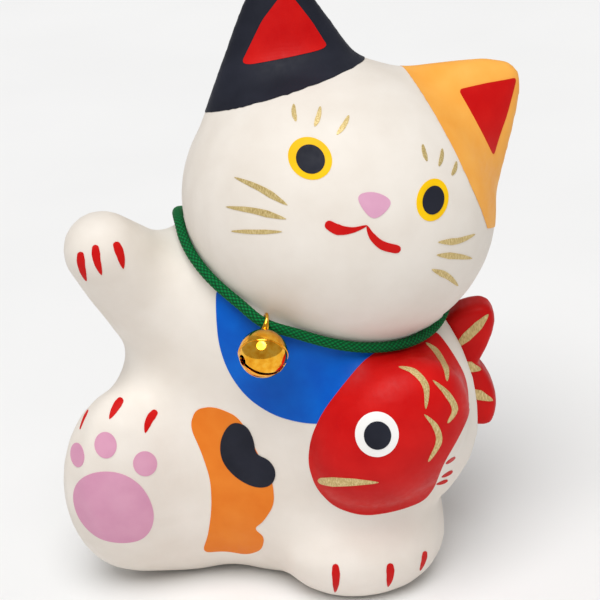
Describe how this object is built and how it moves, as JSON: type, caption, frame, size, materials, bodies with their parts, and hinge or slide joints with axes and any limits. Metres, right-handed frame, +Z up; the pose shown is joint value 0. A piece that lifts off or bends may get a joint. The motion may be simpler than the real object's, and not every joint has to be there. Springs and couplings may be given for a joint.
{
  "type": "cat figurine",
  "caption": "Seated ceramic cat figurine with one paw raised, hugging a sea bream, with a small jingle bell on a braided neck cord.",
  "frame": {"origin": "on the surface the figurine stands on, under the middle of its outline", "axes": "+Z up, the cat faces -Y, its left side with the bream is at +X"},
  "size_m": [0.1014, 0.0812, 0.1311],
  "materials": {
    "white_clay": "unglazed satin, warm white slip, painted",
    "red_clay": "unglazed satin, red paint",
    "green_cord": "fine round braid",
    "bell_brass": "polished",
    "pellet_steel": "tumbled"
  },
  "bodies": {
    "figurine": {"body_casting": "white_clay", "head_casting": "white_clay", "raised_arm": "white_clay", "left_arm": "white_clay", "cat_tail": "white_clay", "sea_bream": "red_clay", "bream_tail_fin": "red_clay", "neck_cord": "green_cord", "cord_knot": "green_cord"},
    "bell": {"bell_upper_shell": "bell_brass", "bell_lower_shell": "bell_brass", "bell_loop": "bell_brass"},
    "pellet": {"bell_pellet": "pellet_steel"}
  },
  "joints": [
    {"name": "bell_swing", "type": "hinge", "parent": "figurine", "child": "bell", "pos_m": [-0.00466, -0.02949, 0.06676], "axis": [-0.9488, -0.0661, 0.3088], "range_deg": [0, 50]},
    {"name": "pellet_roll", "type": "hinge", "parent": "bell", "child": "pellet", "pos_m": [-0.00535, -0.03585, 0.06329], "axis": [-0.9488, -0.0661, 0.3088], "range_deg": [-60, 60]}
  ]
}
